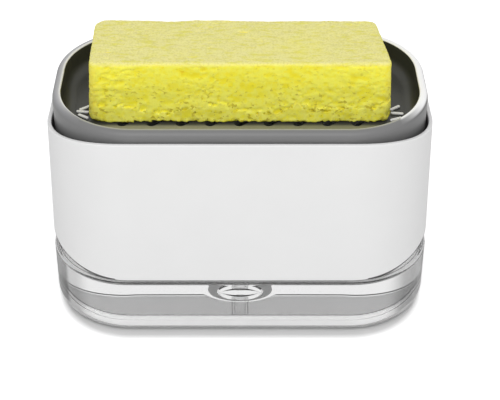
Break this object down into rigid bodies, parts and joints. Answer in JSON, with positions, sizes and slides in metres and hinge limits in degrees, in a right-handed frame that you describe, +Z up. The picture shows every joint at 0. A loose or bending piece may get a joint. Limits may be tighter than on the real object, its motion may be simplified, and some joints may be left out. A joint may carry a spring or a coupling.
{
  "type": "soap pump caddy",
  "caption": "Countertop soap pump caddy: a clear reservoir in a white sleeve under a sprung, slotted tray that holds a sponge and pumps soap up into it.",
  "frame": {"origin": "middle of the footprint, on the surface that the caddy stands on", "axes": "+X along the long side, -Y towards the front, +Z up"},
  "size_m": [0.1534, 0.089, 0.1099],
  "materials": {
    "clear_plastic": "clear, polished",
    "white_plastic": "satin white",
    "deck_plastic": "matt light grey",
    "pump_plastic": "milky, part clear",
    "tube_plastic": "milky, part clear",
    "grey_plastic": "matt grey",
    "tray_plastic": "satin mid grey",
    "silicone": "matt",
    "black_rubber": "matt",
    "steel": "bright stainless",
    "sponge": "open-pored cellulose"
  },
  "bodies": {
    "base": {"reservoir": "clear_plastic", "housing": "white_plastic"},
    "pump_unit": {"pump_deck": "deck_plastic", "deck_seal": "silicone", "pump_cylinder": "pump_plastic", "cylinder_washer": "silicone", "cylinder_nut": "deck_plastic", "inlet_cage": "pump_plastic", "intake_tube": "tube_plastic", "stem_guide": "deck_plastic", "stem_wiper": "black_rubber", "return_spring": "steel"},
    "inlet_valve_ball": {"inlet_ball": "steel"},
    "press_head": {"press_tray": "tray_plastic", "drain_floor": "tray_plastic", "tray_skirt": "tray_plastic", "tray_carrier": "grey_plastic", "carrier_screws": "steel", "pump_stem": "deck_plastic", "piston": "grey_plastic", "piston_seal": "black_rubber", "soap_nozzle": "grey_plastic"},
    "outlet_valve_ball": {"outlet_ball": "steel"},
    "sponge_block": {"sponge": "sponge"}
  },
  "joints": [
    {"name": "pump_lift", "type": "slide", "parent": "base", "child": "pump_unit", "axis": [0, 0, 1], "range_m": [0, 0.09]},
    {"name": "inlet_valve", "type": "slide", "parent": "pump_unit", "child": "inlet_valve_ball", "axis": [0, 0, 1], "range_m": [0, 0.0015]},
    {"name": "tray_press", "type": "slide", "parent": "pump_unit", "child": "press_head", "axis": [0, 0, 1], "range_m": [-0.008, 0], "stiffness_N_per_m": 600, "springref_m": 0.012, "deforming": ["return_spring"]},
    {"name": "outlet_valve", "type": "slide", "parent": "press_head", "child": "outlet_valve_ball", "axis": [0, 0, 1], "range_m": [0, 0.0015]},
    {"name": "sponge_lift", "type": "slide", "parent": "press_head", "child": "sponge_block", "axis": [0, 0, 1], "range_m": [0, 0.05]}
  ]
}
